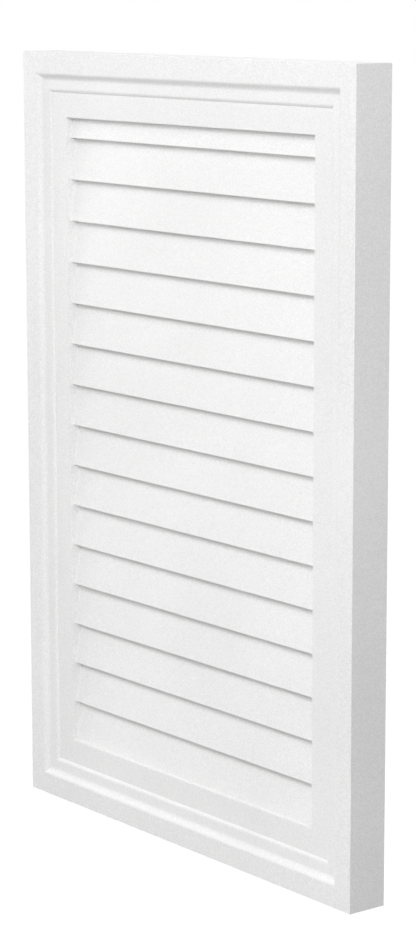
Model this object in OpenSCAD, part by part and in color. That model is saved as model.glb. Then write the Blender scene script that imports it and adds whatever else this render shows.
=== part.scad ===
// Decorative louvred wall vent, moulded in one piece.
// A closed, planted vent of the kind fixed flat on a gable: a stepped picture-frame
// moulding round a run of lapped louvres that let no air through.
// X runs across the width, Z up the height, and the wall lies at Y = 0.
// The show face looks to -Y, and the origin is the middle of the wall face.

/* [Overall] */
// Width over the frame
overall_w = 609.6; // [350:0.1:1200]
// Height over the frame
overall_h = 914.4; // [350:0.1:1600]
// Depth from the wall to the front of the frame
overall_depth = 49.4; // [36:0.1:80]
// Radius on the outer front edges
arris_r = 0.8; // [0.3:0.1:2]

/* [Frame moulding] */
// Width of each frame member, outer edge to opening
frame_w = 76.3; // [56:0.1:110]
// Width of the outer flat band
band_w = 24.3; // [12:0.1:32]
// Width of the cove inside the band
cove_w = 10.8; // [8:0.1:14]
// Depth of the cove below the front
cove_drop = 6.4; // [4:0.1:7.5]
// Width of the narrow flat between cove and nosing
fillet_w = 6.1; // [2:0.1:8]
// Width of the rounded nosing
nosing_w = 7.3; // [5:0.1:10]
// Depth of the inner flat below the front
flat_drop = 9; // [8:0.1:14]

/* [Louvres] */
// Height from one louvre lip to the next
louvre_pitch = 49.22; // [30:0.01:70]
// Depth of the louvre lips below the inner flat
lip_recess = 5.5; // [3:0.1:8]
// How far each louvre face leans back from its lip
louvre_lean = 9.3; // [6:0.1:12]
// Drop of the lowest lip behind the sill edge
sill_lap = 0.6; // [0:0.1:5]
// Draft on the underside of each lip
lip_draft = 3; // [1:0.5:10]

/* [Hidden] */
$fn = 128;

opening_w = overall_w - 2 * frame_w;
opening_h = overall_h - 2 * frame_w;

// Stations across a frame member, counted from its outer edge
cove_end = band_w + cove_w;
nosing_start = cove_end + fillet_w;
nosing_end = nosing_start + nosing_w;

// Heights above the wall
fillet_level = overall_depth - cove_drop;
flat_level = overall_depth - flat_drop;
lip_level = flat_level - lip_recess;
root_level = lip_level - louvre_lean;

// An arc that starts level and covers a run while it changes by a drop
function arc_radius(run, drop) = (run * run + drop * drop) / (2 * drop);
cove_r = arc_radius(cove_w, cove_drop);
nosing_drop = flat_drop - cove_drop;
nosing_r = arc_radius(nosing_w, nosing_drop);

// The louvre run starts at the sill, and its top louvre goes up behind the head
panel_seat = frame_w / 2;
lowest_lip = -opening_h / 2 - sill_lap;
louvre_count = ceil((opening_h / 2 - lowest_lip) / louvre_pitch);
lip_fall = louvre_lean * tan(lip_draft);

// Section across a frame member: x from the outer edge, y from the wall
module moulding_section() {
    square([frame_w, flat_level]);
    square([nosing_start, fillet_level]);
    difference() {
        square([cove_end, overall_depth]);
        translate([cove_end, fillet_level + cove_r])
            circle(r = cove_r);
    }
    intersection() {
        translate([nosing_start, fillet_level - nosing_r])
            circle(r = nosing_r);
        translate([nosing_start, 0])
            square([nosing_w, fillet_level]);
    }
}

// One straight member on the left of a frame, with its outer edge at -half_span
module frame_member(length, half_span) {
    translate([-half_span, 0, -length / 2])
        mirror([0, 1, 0])
            linear_extrude(height = length)
                moulding_section();
}

// Each member runs the full side. The section only steps down towards the
// opening, so where two members cross their sum is the mitred corner.
module frame() {
    for (turn = [0, 180])
        rotate([0, turn, 0])
            frame_member(overall_h, overall_w / 2);
    for (turn = [90, 270])
        rotate([0, turn, 0])
            frame_member(overall_w, overall_h / 2);
}

// Section through the louvre run: x from the wall, y up
module louvre_section() {
    bottom = -opening_h / 2 - panel_seat;
    top = opening_h / 2 + panel_seat;
    steps = [
        for (i = [0 : louvre_count - 1])
            let (lip = lowest_lip + i * louvre_pitch)
                each [[lip_level, lip], [root_level, lip + louvre_pitch - lip_fall]]
    ];
    intersection() {
        polygon(concat(
            [[0, bottom], [lip_level, bottom]],
            steps,
            [[root_level, top + louvre_pitch], [0, top + louvre_pitch]]
        ));
        translate([0, bottom])
            square([overall_depth, top - bottom]);
    }
}

// The run of louvres, with its ends and edges inside the frame members
module louvre_run() {
    rotate([90, 0, -90])
        linear_extrude(height = opening_w + 2 * panel_seat, center = true)
            louvre_section();
}

// Outline of a slab of a given span with its two front corners rounded
module slab_section(span) {
    translate([-span / 2, 0])
        square([span, overall_depth - arris_r]);
    translate([arris_r - span / 2, 0])
        square([span - 2 * arris_r, overall_depth]);
    for (side = [-1, 1])
        translate([side * (span / 2 - arris_r), overall_depth - arris_r])
            circle(r = arris_r);
}

// The blank that the moulding lies in, with the arris round its four front edges
module blank() {
    intersection() {
        mirror([0, 1, 0])
            linear_extrude(height = overall_h, center = true)
                slab_section(overall_w);
        rotate([0, 90, 0])
            mirror([0, 1, 0])
                linear_extrude(height = overall_w, center = true)
                    slab_section(overall_h);
    }
}

// The whole moulding
module vent() {
    color("white")
        intersection() {
            union() {
                frame();
                louvre_run();
            }
            blank();
        }
}

vent();
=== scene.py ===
"""Studio picture of a closed, louvred wall vent moulded in one piece.

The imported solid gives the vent's box. This script builds the fine moulding inside that box, dresses it
in matte white with a fine stipple, and sets the floor, the lamps and the camera.
"""

from __future__ import annotations

import logging
import math
from dataclasses import dataclass, field
from enum import Enum

import bpy
from mathutils import Matrix, Vector


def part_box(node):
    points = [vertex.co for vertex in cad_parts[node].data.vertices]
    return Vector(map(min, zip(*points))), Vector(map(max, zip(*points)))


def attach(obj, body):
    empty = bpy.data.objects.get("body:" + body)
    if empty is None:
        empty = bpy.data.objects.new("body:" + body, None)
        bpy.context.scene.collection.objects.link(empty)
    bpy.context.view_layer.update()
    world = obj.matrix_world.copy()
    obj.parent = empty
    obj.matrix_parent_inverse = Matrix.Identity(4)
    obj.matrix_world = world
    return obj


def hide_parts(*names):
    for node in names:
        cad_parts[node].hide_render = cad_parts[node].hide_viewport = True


MM = 0.001
VENT_NODE = "vent"
ROOT_BODY = "root"
PHOTO_WIDTH_PX = 416
PHOTO_HEIGHT_PX = 939

# Sockets of the mix node, which share their names between its data types
MIX_FACTOR = 0
MIX_VALUE_A = 2
MIX_VALUE_B = 3
MIX_COLOUR_A = 6
MIX_COLOUR_B = 7
MIX_COLOUR_OUT = 2

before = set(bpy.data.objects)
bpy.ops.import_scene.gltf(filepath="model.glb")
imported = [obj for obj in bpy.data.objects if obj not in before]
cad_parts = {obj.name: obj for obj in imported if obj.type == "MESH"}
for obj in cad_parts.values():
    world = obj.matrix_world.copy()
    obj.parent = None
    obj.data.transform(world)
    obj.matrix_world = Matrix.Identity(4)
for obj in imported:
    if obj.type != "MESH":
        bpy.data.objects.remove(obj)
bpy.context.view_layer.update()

log = logging.getLogger("vent")

Point2 = tuple[float, float]
Face = list[int]


class Corner(Enum):
    """The four corners of a rectangle in the X-Z plane, in ring order seen from the front."""

    LOWER_LEFT = (-1, -1)
    LOWER_RIGHT = (1, -1)
    UPPER_RIGHT = (1, 1)
    UPPER_LEFT = (-1, 1)


class NodeKind(Enum):
    """Shader nodes that the finishes use."""

    COORDINATES = "ShaderNodeTexCoord"
    NOISE = "ShaderNodeTexNoise"
    RAMP = "ShaderNodeMapRange"
    MATH = "ShaderNodeMath"
    MIX = "ShaderNodeMix"
    BUMP = "ShaderNodeBump"
    GROUP = "ShaderNodeGroup"
    GROUP_IN = "NodeGroupInput"
    GROUP_OUT = "NodeGroupOutput"
    PRINCIPLED = "ShaderNodeBsdfPrincipled"
    EMISSION = "ShaderNodeEmission"
    ADD_SHADER = "ShaderNodeAddShader"
    LIGHT_PATH = "ShaderNodeLightPath"
    BACKGROUND = "ShaderNodeBackground"
    OUTPUT = "ShaderNodeOutputMaterial"
    WORLD_OUTPUT = "ShaderNodeOutputWorld"


def arc_radius(run: float, drop: float) -> float:
    """Radius of an arc that starts level and changes by a drop over a run.

    Args:
        run: Length of the arc along its level end's tangent.
        drop: Change of height over that length.

    Returns:
        The radius, in the same unit.
    """
    return (run * run + drop * drop) / (2 * drop)


def rounded_path(points: list[Point2], radii: list[float], steps: int) -> list[Point2]:
    """Rounds the inner corners of an open path with tangent arcs.

    Args:
        points: The path's corners, in order.
        radii: Radius at each corner; 0 leaves a corner sharp.
        steps: Number of segments in each arc.

    Returns:
        The path's points with each rounded corner replaced by an arc.
    """
    path: list[Point2] = [points[0]]
    for before, corner, after, radius in zip(points, points[1:], points[2:], radii[1:]):
        if radius <= 0:
            path.append(corner)
            continue
        here = Vector(corner)
        to_before = (Vector(before) - here).normalized()
        to_after = (Vector(after) - here).normalized()
        half_angle = to_before.angle(to_after) / 2
        reach = radius / math.tan(half_angle)
        centre = here + (to_before + to_after).normalized() * (radius / math.sin(half_angle))
        start = here + to_before * reach - centre
        turn = start.angle_signed(here + to_after * reach - centre)
        for step in range(steps + 1):
            spoke = Matrix.Rotation(-turn * step / steps, 2) @ start
            path.append(tuple(centre + spoke))
    path.append(points[-1])
    return path


def add_node(tree: bpy.types.NodeTree, kind: NodeKind, at: Point2) -> bpy.types.Node:
    """Adds a shader node at a place in the editor.

    Args:
        tree: The node tree that gets it.
        kind: Which node.
        at: Its place in the editor.

    Returns:
        The new node.
    """
    node = tree.nodes.new(kind.value)
    node.location = at
    return node


@dataclass(frozen=True)
class StippleGroup:
    """Fine cast stipple with faint cloudiness, as a node group that any moulded finish can use."""

    name: str = "cast_stipple"
    detail: float = 3.0
    roughness: float = 0.6

    def build(self) -> bpy.types.NodeTree:
        """Makes the group, or returns it if it's there.

        Returns:
            The node group, with Height and Tone outputs.
        """
        found = bpy.data.node_groups.get(self.name)
        if found:
            return found
        tree = bpy.data.node_groups.new(self.name, "ShaderNodeTree")
        for label, value in (("Grain Scale", 900.0), ("Cloud Scale", 6.0), ("Cloud Share", 0.5)):
            socket = tree.interface.new_socket(label, in_out="INPUT", socket_type="NodeSocketFloat")
            socket.default_value = value
        tree.interface.new_socket("Height", in_out="OUTPUT", socket_type="NodeSocketFloat")
        tree.interface.new_socket("Tone", in_out="OUTPUT", socket_type="NodeSocketFloat")
        inputs = add_node(tree, NodeKind.GROUP_IN, (-700, 0))
        outputs = add_node(tree, NodeKind.GROUP_OUT, (500, 0))
        place = add_node(tree, NodeKind.COORDINATES, (-700, 250))
        grain = add_node(tree, NodeKind.NOISE, (-450, 150))
        cloud = add_node(tree, NodeKind.NOISE, (-450, -150))
        mix = add_node(tree, NodeKind.MIX, (-100, -50))
        grain.inputs["Detail"].default_value = self.detail
        grain.inputs["Roughness"].default_value = self.roughness
        cloud.inputs["Detail"].default_value = self.detail
        links = tree.links
        links.new(place.outputs["Object"], grain.inputs["Vector"])
        links.new(place.outputs["Object"], cloud.inputs["Vector"])
        links.new(inputs.outputs["Grain Scale"], grain.inputs["Scale"])
        links.new(inputs.outputs["Cloud Scale"], cloud.inputs["Scale"])
        links.new(inputs.outputs["Cloud Share"], mix.inputs[MIX_FACTOR])
        links.new(grain.outputs["Fac"], mix.inputs[MIX_VALUE_A])
        links.new(cloud.outputs["Fac"], mix.inputs[MIX_VALUE_B])
        links.new(grain.outputs["Fac"], outputs.inputs["Height"])
        links.new(mix.outputs[0], outputs.inputs["Tone"])
        return tree


@dataclass(frozen=True)
class MouldedWhite:
    """Factory-primed white of the whole moulding."""

    name: str = "moulded_white"
    light_tone: tuple[float, float, float] = (0.93, 0.93, 0.928)
    dark_tone: tuple[float, float, float] = (0.81, 0.81, 0.808)
    tone_low: float = 0.41
    tone_high: float = 0.59
    roughness_low: float = 0.5
    roughness_high: float = 0.62
    specular: float = 0.3
    grain_scale: float = 720.0
    cloud_scale: float = 5.0
    cloud_share: float = 0.2
    bump_strength: float = 0.25
    bump_distance: float = 0.15 * MM

    def build(self) -> bpy.types.Material:
        """Makes the material.

        Returns:
            The material, with the stipple in its colour, roughness and bump.
        """
        material = bpy.data.materials.new(self.name)
        material.use_nodes = True
        tree = material.node_tree
        tree.nodes.clear()
        links = tree.links
        output = add_node(tree, NodeKind.OUTPUT, (700, 0))
        shader = add_node(tree, NodeKind.PRINCIPLED, (400, 0))
        stipple = add_node(tree, NodeKind.GROUP, (-500, 0))
        stipple.node_tree = StippleGroup().build()
        stipple.inputs["Grain Scale"].default_value = self.grain_scale
        stipple.inputs["Cloud Scale"].default_value = self.cloud_scale
        stipple.inputs["Cloud Share"].default_value = self.cloud_share
        tone = add_node(tree, NodeKind.RAMP, (-250, 200))
        tone.inputs["From Min"].default_value = self.tone_low
        tone.inputs["From Max"].default_value = self.tone_high
        colour = add_node(tree, NodeKind.MIX, (50, 200))
        colour.data_type = "RGBA"
        colour.inputs[MIX_COLOUR_A].default_value = (*self.dark_tone, 1.0)
        colour.inputs[MIX_COLOUR_B].default_value = (*self.light_tone, 1.0)
        rough = add_node(tree, NodeKind.RAMP, (50, -50))
        rough.inputs["To Min"].default_value = self.roughness_high
        rough.inputs["To Max"].default_value = self.roughness_low
        bump = add_node(tree, NodeKind.BUMP, (50, -300))
        bump.inputs["Strength"].default_value = self.bump_strength
        bump.inputs["Distance"].default_value = self.bump_distance
        shader.inputs["Specular IOR Level"].default_value = self.specular
        links.new(stipple.outputs["Tone"], tone.inputs["Value"])
        links.new(tone.outputs["Result"], colour.inputs[MIX_FACTOR])
        links.new(colour.outputs[MIX_COLOUR_OUT], shader.inputs["Base Color"])
        links.new(stipple.outputs["Tone"], rough.inputs["Value"])
        links.new(rough.outputs["Result"], shader.inputs["Roughness"])
        links.new(stipple.outputs["Height"], bump.inputs["Height"])
        links.new(bump.outputs["Normal"], shader.inputs["Normal"])
        links.new(shader.outputs["BSDF"], output.inputs["Surface"])
        return material


@dataclass(frozen=True)
class PaleFloor:
    """Matte studio floor that reads as white to the camera and still takes a shadow."""

    name: str = "pale_floor"
    tone: tuple[float, float, float] = (0.8, 0.8, 0.8)
    roughness: float = 0.9
    camera_lift: float = 0.8

    def build(self) -> bpy.types.Material:
        """Makes the material.

        Returns:
            The material: matte, with a lift that only the camera and mirror-like surfaces see.
        """
        material = bpy.data.materials.new(self.name)
        material.use_nodes = True
        tree = material.node_tree
        tree.nodes.clear()
        links = tree.links
        output = add_node(tree, NodeKind.OUTPUT, (600, 0))
        both = add_node(tree, NodeKind.ADD_SHADER, (400, 0))
        shader = add_node(tree, NodeKind.PRINCIPLED, (100, 150))
        shader.inputs["Base Color"].default_value = (*self.tone, 1.0)
        shader.inputs["Roughness"].default_value = self.roughness
        shader.inputs["Specular IOR Level"].default_value = 0.0
        lift = add_node(tree, NodeKind.EMISSION, (100, -250))
        seen = seen_directly(tree)
        strength = add_node(tree, NodeKind.MATH, (-100, -250))
        strength.operation = "MULTIPLY"
        strength.inputs[1].default_value = self.camera_lift
        links.new(seen, strength.inputs[0])
        links.new(strength.outputs[0], lift.inputs["Strength"])
        links.new(shader.outputs["BSDF"], both.inputs[0])
        links.new(lift.outputs["Emission"], both.inputs[1])
        links.new(both.outputs["Shader"], output.inputs["Surface"])
        return material


def seen_directly(tree: bpy.types.NodeTree) -> bpy.types.NodeSocket:
    """Adds a mask of rays that come from the camera, from gloss or through glass.

    Args:
        tree: The node tree that gets it.

    Returns:
        A socket that is 1 for those rays and 0 for the rays that light the object.
    """
    path = add_node(tree, NodeKind.LIGHT_PATH, (-700, -300))
    first = add_node(tree, NodeKind.MATH, (-480, -250))
    first.operation = "MAXIMUM"
    last = add_node(tree, NodeKind.MATH, (-290, -300))
    last.operation = "MAXIMUM"
    tree.links.new(path.outputs["Is Camera Ray"], first.inputs[0])
    tree.links.new(path.outputs["Is Glossy Ray"], first.inputs[1])
    tree.links.new(first.outputs[0], last.inputs[0])
    tree.links.new(path.outputs["Is Transmission Ray"], last.inputs[1])
    return last.outputs[0]


@dataclass
class FrameMoulding:
    """The stepped frame, as a section swept round a rectangle with mitred corners."""

    member_w: float = 76.3 * MM
    band_w: float = 23.6 * MM
    band_r: float = 5.2 * MM
    cove_w: float = 11.4 * MM
    cove_drop: float = 6.6 * MM
    fillet_w: float = 7.4 * MM
    nosing_w: float = 5.0 * MM
    flat_drop: float = 9.4 * MM
    arris_r: float = 0.8 * MM
    reveal_r: float = 0.3 * MM
    curve_steps: int = 16
    corner_steps: int = 5

    @property
    def cove_end(self) -> float:
        """Station where the cove meets the narrow flat."""
        return self.band_w + self.cove_w

    @property
    def nosing_start(self) -> float:
        """Station where the narrow flat turns into the nosing."""
        return self.cove_end + self.fillet_w

    @property
    def nosing_end(self) -> float:
        """Station where the nosing meets the inner flat."""
        return self.nosing_start + self.nosing_w

    def cove(self) -> list[Point2]:
        """Lays out the step from the outer band to the narrow flat: a rounded edge, then a hollow.

        Returns:
            Points of inset and depth below the front, from the band inwards.
        """
        both_radii = arc_radius(self.cove_w, self.cove_drop)
        hollow_r = both_radii - self.band_r
        sweep = math.asin(self.cove_w / both_radii)
        points = []
        for step in range(self.corner_steps + 1):
            angle = sweep * step / self.corner_steps
            inset = self.band_w + self.band_r * math.sin(angle)
            points.append((inset, self.band_r * (1 - math.cos(angle))))
        for step in range(1, self.curve_steps + 1):
            angle = sweep * (1 - step / self.curve_steps)
            inset = self.cove_end - hollow_r * math.sin(angle)
            points.append((inset, self.cove_drop - hollow_r * (1 - math.cos(angle))))
        return points

    def nosing(self) -> list[Point2]:
        """Lays out the rounded step from the narrow flat to the inner flat.

        Returns:
            Points of inset and depth below the front, from the narrow flat inwards.
        """
        drop = self.flat_drop - self.cove_drop
        radius = arc_radius(self.nosing_w, drop)
        sweep = math.asin(self.nosing_w / radius)
        points = []
        for step in range(self.curve_steps + 1):
            angle = sweep * step / self.curve_steps
            inset = self.nosing_start + radius * math.sin(angle)
            points.append((inset, self.cove_drop + radius * (1 - math.cos(angle))))
        return points

    def section(self, depth: float) -> list[Point2]:
        """Lays out the whole section from the wall round the front to the reveal.

        Args:
            depth: Depth of the vent from its front to the wall.

        Returns:
            Points of inset from the outer edge and depth below the front.
        """
        outer = rounded_path(
            [(0.0, depth), (0.0, 0.0), (self.band_w, 0.0)],
            [0.0, self.arris_r, 0.0],
            self.corner_steps,
        )
        inner = rounded_path(
            [(self.nosing_end, self.flat_drop), (self.member_w, self.flat_drop), (self.member_w, depth)],
            [0.0, self.reveal_r, 0.0],
            self.corner_steps,
        )
        return outer[:-1] + self.cove() + self.nosing() + inner[1:-1]


@dataclass
class LouvreRun:
    """The lapped louvres, as one saw-tooth section that runs across the opening."""

    pitch: float = 49.22 * MM
    lip_recess: float = 5.1 * MM
    lean: float = 9.3 * MM
    sill_lap: float = 0.6 * MM
    lip_draft: float = math.radians(3.0)
    lip_r: float = 0.35 * MM
    root_r: float = 0.35 * MM
    corner_steps: int = 5

    def section(self, flat_drop: float, sill: float, head: float) -> list[Point2]:
        """Lays out the louvre faces from the sill up to the head.

        Args:
            flat_drop: Depth of the inner flat below the front.
            sill: Height of the opening's lower edge.
            head: Height of the opening's upper edge.

        Returns:
            Points of depth below the front and height, from the sill up.
        """
        lip_depth = flat_drop + self.lip_recess
        root_depth = lip_depth + self.lean
        fall = self.lean * math.tan(self.lip_draft)
        face_height = self.pitch - fall
        lowest = sill - self.sill_lap
        corners: list[Point2] = [(lip_depth + self.lean * self.sill_lap / face_height, sill)]
        radii = [0.0]
        lip = lowest + self.pitch
        while lip < head:
            corners += [(root_depth, lip - fall), (lip_depth, lip)]
            radii += [self.root_r, self.lip_r]
            lip += self.pitch
        last_lip = lip - self.pitch
        corners.append((lip_depth + self.lean * (head - last_lip) / face_height, head))
        radii.append(0.0)
        return rounded_path(corners, radii, self.corner_steps)


@dataclass
class VentMoulding:
    """The whole vent as one closed mesh: frame, reveals, louvres, sides and back."""

    low: Vector
    high: Vector
    frame_part: FrameMoulding = field(default_factory=FrameMoulding)
    louvres: LouvreRun = field(default_factory=LouvreRun)
    finish: MouldedWhite = field(default_factory=MouldedWhite)
    smooth_angle: float = math.radians(22.0)
    name: str = "vent_moulding"

    @property
    def depth(self) -> float:
        """Depth from the front of the frame to the wall."""
        return self.high.y - self.low.y

    def ring(self, inset: float, drop: float) -> list[Vector]:
        """Places one turn of the frame's section.

        Args:
            inset: Distance in from the outer edge.
            drop: Depth below the front.

        Returns:
            The four corners, in the order of Corner.
        """
        middle = (self.low + self.high) / 2
        half = (self.high - self.low) / 2
        return [
            Vector((
                middle.x + corner.value[0] * (half.x - inset),
                self.low.y + drop,
                middle.z + corner.value[1] * (half.z - inset),
            ))
            for corner in Corner
        ]

    def build_mesh(self) -> bpy.types.Mesh:
        """Makes the closed mesh.

        Returns:
            The mesh, with smooth curves and sharp arrises marked.
        """
        points: list[Vector] = []
        faces: list[Face] = []
        self.add_frame(points, faces)
        self.add_louvres(points, faces)
        mesh = bpy.data.meshes.new(self.name)
        mesh.from_pydata(points, [], faces)
        mesh.validate()
        mesh.polygons.foreach_set("use_smooth", [True] * len(mesh.polygons))
        mesh.set_sharp_from_angle(angle=self.smooth_angle)
        return mesh

    def add_frame(self, points: list[Vector], faces: list[Face]) -> None:
        """Adds the back, the sides and the frame's front, ring by ring.

        Args:
            points: Vertices so far, which this adds to.
            faces: Faces so far, which this adds to.
        """
        for inset, drop in self.frame_part.section(self.depth):
            points += self.ring(inset, drop)
        faces.append([3, 2, 1, 0])
        for start in range(0, len(points) - 4, 4):
            for side in range(4):
                after = (side + 1) % 4
                faces.append([start + side, start + after, start + 4 + after, start + 4 + side])

    def add_louvres(self, points: list[Vector], faces: list[Face]) -> None:
        """Adds the reveals and the louvre faces inside the frame's last ring.

        Args:
            points: Vertices so far, which this adds to.
            faces: Faces so far, which this adds to.
        """
        last_ring = len(points) - 4
        lower_left, lower_right, upper_right, upper_left = range(last_ring, last_ring + 4)
        sill = points[lower_left].z
        head = points[upper_left].z
        section = self.louvres.section(self.frame_part.flat_drop, sill, head)
        left_x = points[lower_left].x
        right_x = points[lower_right].x
        first = len(points)
        for drop, height in section:
            points.append(Vector((left_x, self.low.y + drop, height)))
            points.append(Vector((right_x, self.low.y + drop, height)))
        count = len(section)
        left = [first + 2 * step for step in range(count)]
        right = [index + 1 for index in left]
        faces.append([lower_left, lower_right, right[0], left[0]])
        faces.append([upper_right, upper_left, left[-1], right[-1]])
        faces.append([upper_left, lower_left] + left)
        faces.append([lower_right, upper_right] + right[::-1])
        for step in range(count - 1):
            faces.append([left[step], right[step], right[step + 1], left[step + 1]])

    def build(self) -> bpy.types.Object:
        """Makes the piece, dresses it and sets it on the vent's body.

        Returns:
            The finished piece.
        """
        piece = bpy.data.objects.new(self.name, self.build_mesh())
        bpy.context.scene.collection.objects.link(piece)
        material = self.finish.build()
        piece.data.materials.append(material)
        weights = piece.modifiers.new("even_normals", "WEIGHTED_NORMAL")
        weights.keep_sharp = True
        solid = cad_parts[VENT_NODE]
        solid.data.materials.clear()
        solid.data.materials.append(material)
        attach(piece, ROOT_BODY)
        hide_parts(VENT_NODE)
        return piece


@dataclass
class StudioFloor:
    """A plain pale floor, well below the vent, which hangs at wall height."""

    clearance: float = 1.3
    half_span: float = 40.0
    finish: PaleFloor = field(default_factory=PaleFloor)
    name: str = "studio_floor"

    def build(self, below: float) -> bpy.types.Object:
        """Lays the floor.

        Args:
            below: Height of the object's lowest point.

        Returns:
            The floor.
        """
        height = below - self.clearance
        corners = [
            (corner.value[0] * self.half_span, corner.value[1] * self.half_span, height)
            for corner in Corner
        ]
        mesh = bpy.data.meshes.new(self.name)
        mesh.from_pydata(corners, [], [[0, 1, 2, 3]])
        mesh.materials.append(self.finish.build())
        floor = bpy.data.objects.new(self.name, mesh)
        bpy.context.scene.collection.objects.link(floor)
        return floor


@dataclass(frozen=True)
class SoftLamp:
    """One large soft lamp that points at the vent."""

    name: str
    azimuth: float
    elevation: float
    distance: float
    size: float
    power: float

    def build(self, target: Vector) -> bpy.types.Object:
        """Hangs the lamp.

        Args:
            target: The point it faces.

        Returns:
            The lamp.
        """
        data = bpy.data.lights.new(self.name, "AREA")
        data.shape = "DISK"
        data.size = self.size
        data.energy = self.power
        lamp = bpy.data.objects.new(self.name, data)
        bpy.context.scene.collection.objects.link(lamp)
        back = outward(self.azimuth, self.elevation)
        lamp.location = target + back * self.distance
        lamp.rotation_euler = back.to_track_quat("Z", "Y").to_euler()
        lamp.visible_camera = False
        return lamp


def outward(azimuth: float, elevation: float) -> Vector:
    """Points from the vent towards a viewer or a lamp.

    Args:
        azimuth: Degrees from straight in front towards the right.
        elevation: Degrees above level.

    Returns:
        The unit direction.
    """
    turn = math.radians(azimuth)
    rise = math.radians(elevation)
    level = math.cos(rise)
    return Vector((math.sin(turn) * level, -math.cos(turn) * level, math.sin(rise)))


@dataclass(frozen=True)
class StudioSky:
    """Even light from all round, with a plain white background behind the vent."""

    fill: float = 0.258
    name: str = "studio_sky"

    def build(self) -> bpy.types.World:
        """Makes the world.

        Returns:
            The world: a fill that lights the vent, and white where it is seen directly.
        """
        world = bpy.data.worlds.new(self.name)
        world.use_nodes = True
        tree = world.node_tree
        tree.nodes.clear()
        output = add_node(tree, NodeKind.WORLD_OUTPUT, (200, 0))
        background = add_node(tree, NodeKind.BACKGROUND, (0, 0))
        strength = add_node(tree, NodeKind.RAMP, (-200, 0))
        strength.inputs["To Min"].default_value = self.fill
        strength.inputs["To Max"].default_value = 1.0
        background.inputs["Color"].default_value = (1.0, 1.0, 1.0, 1.0)
        tree.links.new(seen_directly(tree), strength.inputs["Value"])
        tree.links.new(strength.outputs["Result"], background.inputs["Strength"])
        tree.links.new(background.outputs["Background"], output.inputs["Surface"])
        bpy.context.scene.world = world
        return world


@dataclass(frozen=True)
class PhotographCamera:
    """The camera at the photograph's place, from a fit to the vent's edges and louvre lines."""

    place: tuple[float, float, float] = (2.48584, -1.93570, 0.55257)
    azimuth: float = 52.1835
    elevation: float = 10.2058
    roll: float = -0.0857
    focal_px: float = 2775.9
    sensor: float = 36.0
    reach: float = 200.0
    name: str = "photograph_camera"

    def build(self) -> bpy.types.Object:
        """Sets up the scene's camera.

        Returns:
            The camera.
        """
        data = bpy.data.cameras.new(self.name)
        data.sensor_width = self.sensor
        data.lens = self.focal_px * self.sensor / max(PHOTO_WIDTH_PX, PHOTO_HEIGHT_PX)
        data.clip_end = self.reach
        camera = bpy.data.objects.new(self.name, data)
        bpy.context.scene.collection.objects.link(camera)
        back = outward(self.azimuth, self.elevation)
        turn = math.radians(self.azimuth)
        right = Vector((math.cos(turn), math.sin(turn), 0.0))
        up = back.cross(right)
        roll = math.radians(self.roll)
        tilted_right = right * math.cos(roll) + up * math.sin(roll)
        tilted_up = up * math.cos(roll) - right * math.sin(roll)
        pose = Matrix((tilted_right, tilted_up, back)).transposed().to_4x4()
        pose.translation = Vector(self.place)
        camera.matrix_world = pose
        bpy.context.scene.camera = camera
        return camera


@dataclass
class Studio:
    """Everything round the vent: floor, sky, lamps and camera."""

    floor: StudioFloor = field(default_factory=StudioFloor)
    sky: StudioSky = field(default_factory=StudioSky)
    camera: PhotographCamera = field(default_factory=PhotographCamera)
    lamps: tuple[SoftLamp, ...] = (
        SoftLamp("far_panel", azimuth=30.0, elevation=40.0, distance=8.0, size=4.8, power=147.0),
        SoftLamp("key_lamp", azimuth=45.0, elevation=28.0, distance=2.56, size=1.2, power=25.4),
        SoftLamp("left_key", azimuth=-37.0, elevation=35.0, distance=2.44, size=1.2, power=6.6),
        SoftLamp("left_fill", azimuth=-68.0, elevation=20.0, distance=2.3, size=1.2, power=13.0),
        SoftLamp("right_fill", azimuth=82.0, elevation=38.0, distance=2.36, size=1.2, power=4.0),
        SoftLamp("top_fill", azimuth=180.0, elevation=68.0, distance=1.9, size=1.0, power=8.0),
        SoftLamp("low_fill", azimuth=10.6, elevation=-31.5, distance=1.9, size=1.0, power=3.2),
    )

    def build(self, low: Vector, high: Vector) -> None:
        """Builds the studio round the vent.

        Args:
            low: The vent's lowest corner.
            high: The vent's highest corner.
        """
        middle = (low + high) / 2
        log.info("floor: %s", self.floor.build(low.z).name)
        log.info("sky: %s", self.sky.build().name)
        for lamp in self.lamps:
            log.info("lamp: %s", lamp.build(middle).name)
        log.info("camera: %s", self.camera.build().name)
        bpy.context.scene.view_settings.view_transform = "Standard"


def main() -> None:
    """Builds the vent and its studio, and reports each piece."""
    logging.basicConfig(level=logging.INFO, format="%(name)s %(message)s")
    low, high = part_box(VENT_NODE)
    piece = VentMoulding(low, high).build()
    log.info("piece: %s, %d faces", piece.name, len(piece.data.polygons))
    Studio().build(low, high)


if __name__ == "__main__":
    main()
